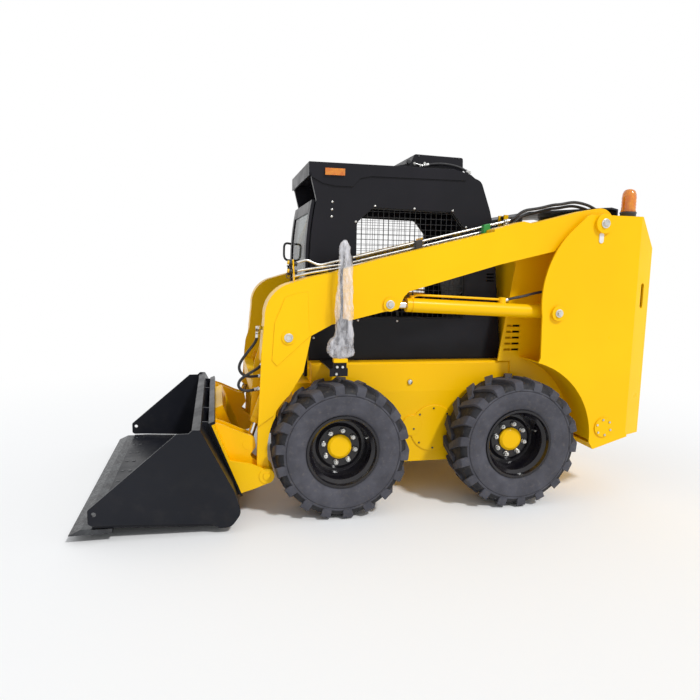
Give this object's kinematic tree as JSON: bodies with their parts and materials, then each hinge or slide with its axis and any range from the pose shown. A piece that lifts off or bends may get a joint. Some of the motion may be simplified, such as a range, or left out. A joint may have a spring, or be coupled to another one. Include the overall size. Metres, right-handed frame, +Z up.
{
  "type": "skid steer loader",
  "caption": "Compact wheeled loader with radial lift arms, front bucket on a quick hitch, enclosed cab with meshed side windows, engine bay with hood and rear door.",
  "frame": {"origin": "on the ground, at the middle of the overall length and width, standing on its wheels with the bucket lowered", "axes": "+X forward (the way the bucket faces), +Y to the machine's left, +Z up"},
  "size_m": [3.597, 1.874, 2.2577],
  "materials": {
    "tyre_rubber": "matte",
    "rim_paint": "gloss",
    "body_paint": "gloss",
    "cab_paint": "satin",
    "bucket_paint": "satin",
    "edge_steel": "worn",
    "rod_chrome": "polished",
    "mesh_wire": "matte",
    "window_glass": "clear",
    "seat_vinyl": "matte",
    "lamp_amber": "gloss",
    "hood_paint": "satin",
    "engine_iron": "rough",
    "black_plastic": "matte"
  },
  "bodies": {
    "chassis": {"beacon": "lamp_amber", "cab_rear_wall": "cab_paint", "cab_roof": "cab_paint", "cab_shell": "cab_paint", "chassis_tub": "body_paint", "control_boxes": "cab_paint", "control_levers": "black_plastic", "engine_block": "engine_iron", "engine_panels": "body_paint", "marker_lamps": "lamp_amber", "rear_bumper": "cab_paint", "rear_window": "window_glass", "roof_ac_unit": "cab_paint", "roof_visor": "cab_paint", "seat": "seat_vinyl", "tower_left": "body_paint", "tower_right": "body_paint", "window_meshes": "mesh_wire"},
    "boom": {"boom_frame": "body_paint", "boom_cross_tube": "body_paint"},
    "attachment": {"hitch_frame": "body_paint", "bucket_shell": "bucket_paint", "cutting_edge": "edge_steel"},
    "front_door": {"front_door": "cab_paint", "front_door_glass": "window_glass"},
    "rear_door": {"rear_door": "cab_paint"},
    "hood": {"hood": "hood_paint"},
    "lap_bar": {"lap_bar": "cab_paint"},
    "lift_barrel_left": {"lift_barrel_left": "body_paint"},
    "lift_rod_left": {"lift_rod_left": "rod_chrome"},
    "tilt_barrel_left": {"tilt_barrel_left": "body_paint"},
    "tilt_rod_left": {"tilt_rod_left": "rod_chrome"},
    "lift_barrel_right": {"lift_barrel_right": "body_paint"},
    "lift_rod_right": {"lift_rod_right": "rod_chrome"},
    "tilt_barrel_right": {"tilt_barrel_right": "body_paint"},
    "tilt_rod_right": {"tilt_rod_right": "rod_chrome"},
    "wheel_front_left": {"tyre_front_left": "tyre_rubber", "rim_front_left": "rim_paint", "hub_front_left": "body_paint"},
    "wheel_front_right": {"tyre_front_right": "tyre_rubber", "rim_front_right": "rim_paint", "hub_front_right": "body_paint"},
    "wheel_rear_left": {"tyre_rear_left": "tyre_rubber", "rim_rear_left": "rim_paint", "hub_rear_left": "body_paint"},
    "wheel_rear_right": {"tyre_rear_right": "tyre_rubber", "rim_rear_right": "rim_paint", "hub_rear_right": "body_paint"}
  },
  "joints": [
    {"name": "front_left_wheel_spin", "type": "hinge", "parent": "chassis", "child": "wheel_front_left", "pos_m": [0.2775, 0.7135, 0.4165], "axis": [0, 1, 0], "continuous": true},
    {"name": "front_right_wheel_spin", "type": "hinge", "parent": "chassis", "child": "wheel_front_right", "pos_m": [0.2775, -0.7135, 0.4165], "axis": [0, 1, 0], "continuous": true},
    {"name": "rear_left_wheel_spin", "type": "hinge", "parent": "chassis", "child": "wheel_rear_left", "pos_m": [-0.8615, 0.7135, 0.4165], "axis": [0, 1, 0], "continuous": true},
    {"name": "rear_right_wheel_spin", "type": "hinge", "parent": "chassis", "child": "wheel_rear_right", "pos_m": [-0.8615, -0.7135, 0.4165], "axis": [0, 1, 0], "continuous": true},
    {"name": "boom_lift", "type": "hinge", "parent": "chassis", "child": "boom", "pos_m": [-1.3835, 0, 1.812], "axis": [0, -1, 0], "range_deg": [0, 60]},
    {"name": "bucket_tilt", "type": "hinge", "parent": "boom", "child": "attachment", "pos_m": [0.7245, 0, 0.265], "axis": [0, -1, 0], "range_deg": [-92, 22]},
    {"name": "lift_cylinder_turn_left", "type": "hinge", "parent": "chassis", "child": "lift_barrel_left", "pos_m": [-1.1025, 0.7, 1.246], "axis": [0, -1, 0], "range_deg": [-0.5, 58.29]},
    {"name": "lift_rod_slide_left", "type": "slide", "parent": "lift_barrel_left", "child": "lift_rod_left", "axis": [0.9991, 0, 0.0429], "range_m": [-0.002, 0.6317]},
    {"name": "tilt_cylinder_turn_left", "type": "hinge", "parent": "boom", "child": "tilt_barrel_left", "pos_m": [0.5965, 0.625, 1.094], "axis": [0, -1, 0], "range_deg": [-0.84, 1.91]},
    {"name": "tilt_rod_slide_left", "type": "slide", "parent": "tilt_barrel_left", "child": "tilt_rod_left", "axis": [0.3335, 0, -0.9428], "range_m": [-0.0673, 0.275]},
    {"name": "lift_cylinder_turn_right", "type": "hinge", "parent": "chassis", "child": "lift_barrel_right", "pos_m": [-1.1025, -0.7, 1.246], "axis": [0, -1, 0], "range_deg": [-0.5, 58.29]},
    {"name": "lift_rod_slide_right", "type": "slide", "parent": "lift_barrel_right", "child": "lift_rod_right", "axis": [0.9991, 0, 0.0429], "range_m": [-0.002, 0.6317]},
    {"name": "tilt_cylinder_turn_right", "type": "hinge", "parent": "boom", "child": "tilt_barrel_right", "pos_m": [0.5965, -0.625, 1.094], "axis": [0, -1, 0], "range_deg": [-0.84, 1.91]},
    {"name": "tilt_rod_slide_right", "type": "slide", "parent": "tilt_barrel_right", "child": "tilt_rod_right", "axis": [0.3335, 0, -0.9428], "range_m": [-0.0673, 0.275]},
    {"name": "front_door_swing", "type": "hinge", "parent": "chassis", "child": "front_door", "pos_m": [0.4635, -0.412, 1.35], "axis": [0, 0, -1], "range_deg": [0, 100]},
    {"name": "rear_door_swing", "type": "hinge", "parent": "chassis", "child": "rear_door", "pos_m": [-1.7145, -0.534, 1.2], "axis": [0, 0, 1], "range_deg": [0, 90]},
    {"name": "hood_lift", "type": "hinge", "parent": "chassis", "child": "hood", "pos_m": [-0.9445, 0, 1.872], "axis": [0, 1, 0], "range_deg": [0, 45]},
    {"name": "lap_bar_swing", "type": "hinge", "parent": "chassis", "child": "lap_bar", "pos_m": [-0.6825, 0, 1.3303], "axis": [0, -1, 0], "range_deg": [0, 72]}
  ],
  "couplings": [
    {"joint": "lift_cylinder_turn_left", "follows": "boom_lift", "ratio": 0.9631},
    {"joint": "lift_rod_slide_left", "follows": "boom_lift", "m_per_rad": 0.6013},
    {"joint": "tilt_cylinder_turn_left", "follows": "bucket_tilt", "ratio": -0.0153},
    {"joint": "tilt_rod_slide_left", "follows": "bucket_tilt", "m_per_rad": -0.17},
    {"joint": "lift_cylinder_turn_right", "follows": "boom_lift", "ratio": 0.9631},
    {"joint": "lift_rod_slide_right", "follows": "boom_lift", "m_per_rad": 0.6013},
    {"joint": "tilt_cylinder_turn_right", "follows": "bucket_tilt", "ratio": -0.0153},
    {"joint": "tilt_rod_slide_right", "follows": "bucket_tilt", "m_per_rad": -0.17}
  ]
}
